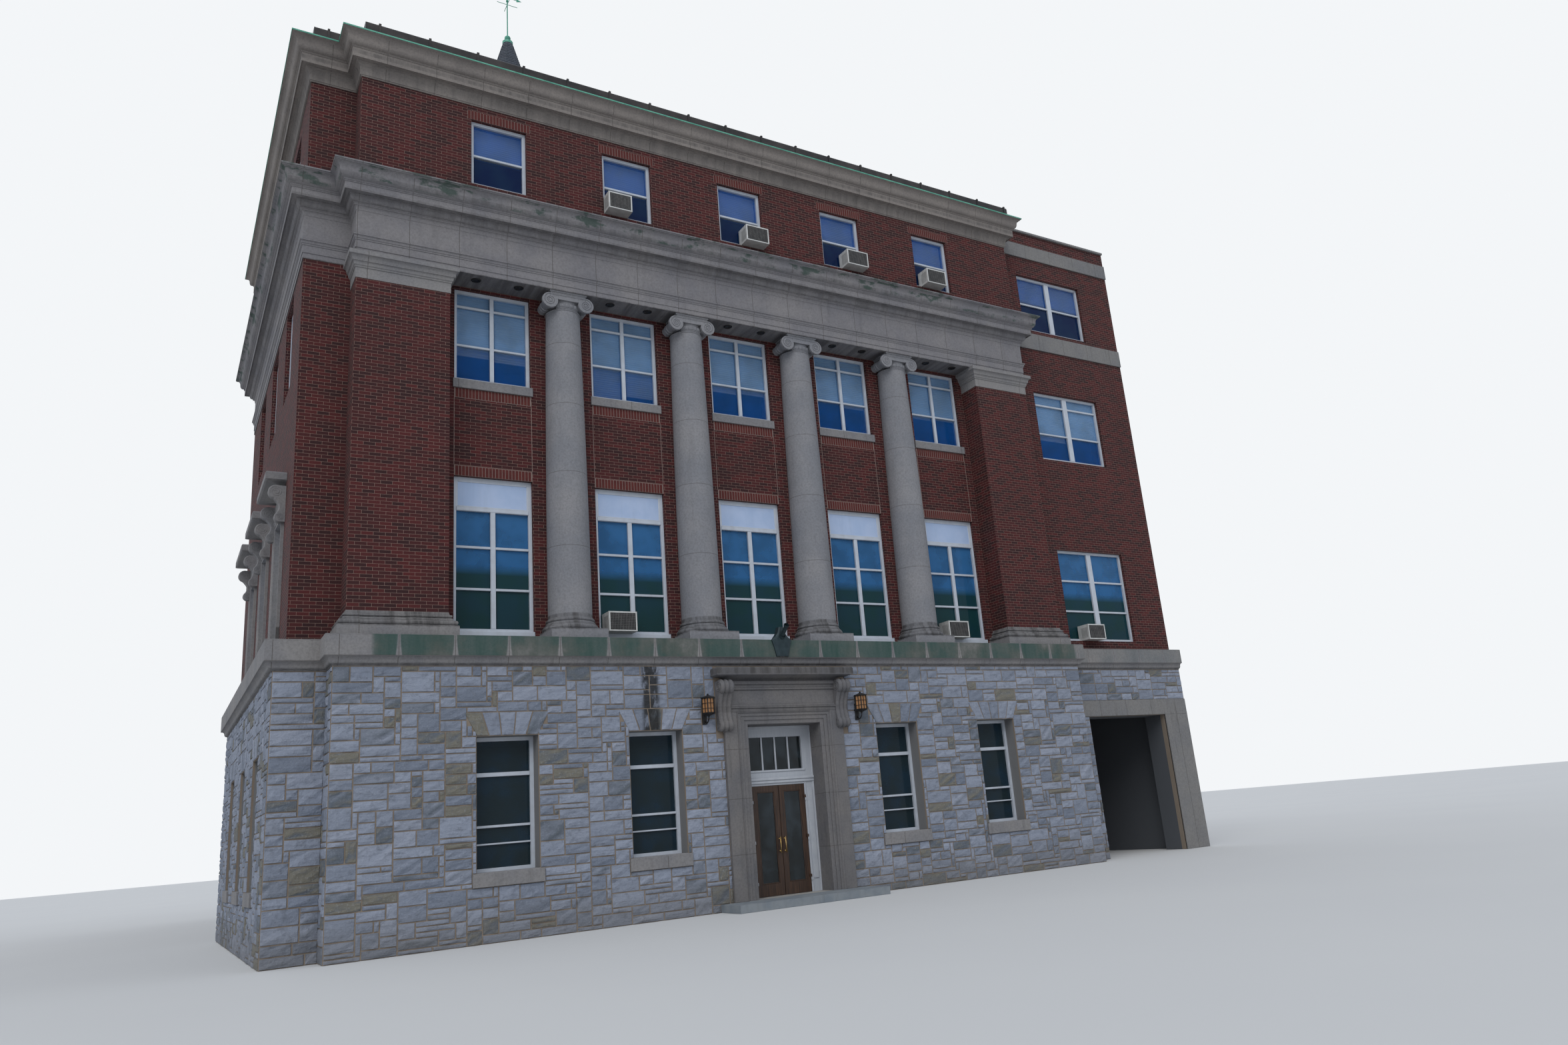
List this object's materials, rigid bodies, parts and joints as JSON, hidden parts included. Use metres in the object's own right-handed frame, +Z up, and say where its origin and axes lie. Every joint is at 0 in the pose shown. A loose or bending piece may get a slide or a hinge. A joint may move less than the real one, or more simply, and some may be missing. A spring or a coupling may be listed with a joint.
{
  "type": "town hall building",
  "caption": "Brick and limestone town hall with an engaged Ionic order across the front, a rusticated stone ground floor, a side wing over a passage, and a slate spire carrying a compass and weathervane.",
  "frame": {"origin": "on the ground, on the centre line of the entrance, in the middle of the front block's depth", "axes": "+Z up; the entrance front looks along -Y; +X to the right of someone facing the front, towards the wing"},
  "size_m": [23.758, 29.685, 38.6703],
  "materials": {
    "brick": "matt deep red face brick with pale mortar",
    "limestone": "smooth dressed limestone, weathered grey",
    "ashlar": "rock faced random ashlar with tan mortar",
    "concrete": "plain concrete floor plates",
    "roofing": "dark flat roofing",
    "slate": "dark blue grey slates",
    "copper": "weathered green copper",
    "dark_metal": "dark brown sheet metal",
    "white_timber": "white painted timber",
    "glass": "clear window glass",
    "door_wood": "varnished brown timber",
    "bluestone": "blue grey step stone"
  },
  "bodies": {
    "building": {"ground_slab": "concrete", "hall_ground_slab": "concrete", "upper_floors": "concrete", "hall_floors": "concrete", "front_roof_deck": "roofing", "hall_roof_deck": "roofing", "base_front_left": "ashlar", "base_front_right": "ashlar", "base_over_door": "ashlar", "base_corner": "ashlar", "base_side_walls": "ashlar", "base_cross_walls": "ashlar", "base_wing_front": "ashlar", "front_window_wall": "brick", "brick_side_walls": "brick", "brick_cross_walls": "brick", "wing_brick_wall": "brick", "wing_bands": "limestone", "belt_course": "limestone", "brick_piers": "brick", "pier_bases": "limestone", "pier_caps": "limestone", "column_bases": "limestone", "column_shafts": "limestone", "column_capitals": "limestone", "entablature": "limestone", "attic_front_wall": "brick", "attic_side_walls": "brick", "attic_cross_walls": "brick", "crowning_cornice": "limestone", "copper_flashing": "copper", "roof_kerb": "dark_metal", "tower_base": "brick", "tower_cornice": "limestone", "belfry": "white_timber", "belfry_cornice": "white_timber", "slate_spire": "slate", "spire_finial": "copper", "doorstep": "bluestone", "door_surround": "limestone", "door_frame": "door_wood", "front_window_frames": "white_timber", "front_window_glass": "glass", "attic_window_frames": "white_timber", "attic_window_glass": "glass", "ground_window_frames": "white_timber", "ground_window_glass": "glass", "side_window_frames": "white_timber", "side_window_glass": "glass", "window_sills": "limestone"},
    "left_door_leaf": {"left_door": "door_wood"},
    "right_door_leaf": {"right_door": "door_wood"},
    "vane": {"weathervane": "copper"}
  },
  "joints": [
    {"name": "left_door_hinge", "type": "hinge", "parent": "building", "child": "left_door_leaf", "pos_m": [-0.65, -5.238, 0.15], "axis": [0, 0, -1], "range_deg": [0, 90]},
    {"name": "right_door_hinge", "type": "hinge", "parent": "building", "child": "right_door_leaf", "pos_m": [0.65, -5.238, 0.15], "axis": [0, 0, 1], "range_deg": [0, 90]},
    {"name": "vane_spin", "type": "hinge", "parent": "building", "child": "vane", "pos_m": [0, 14.05, 38.17], "axis": [0, 0, 1], "continuous": true}
  ]
}
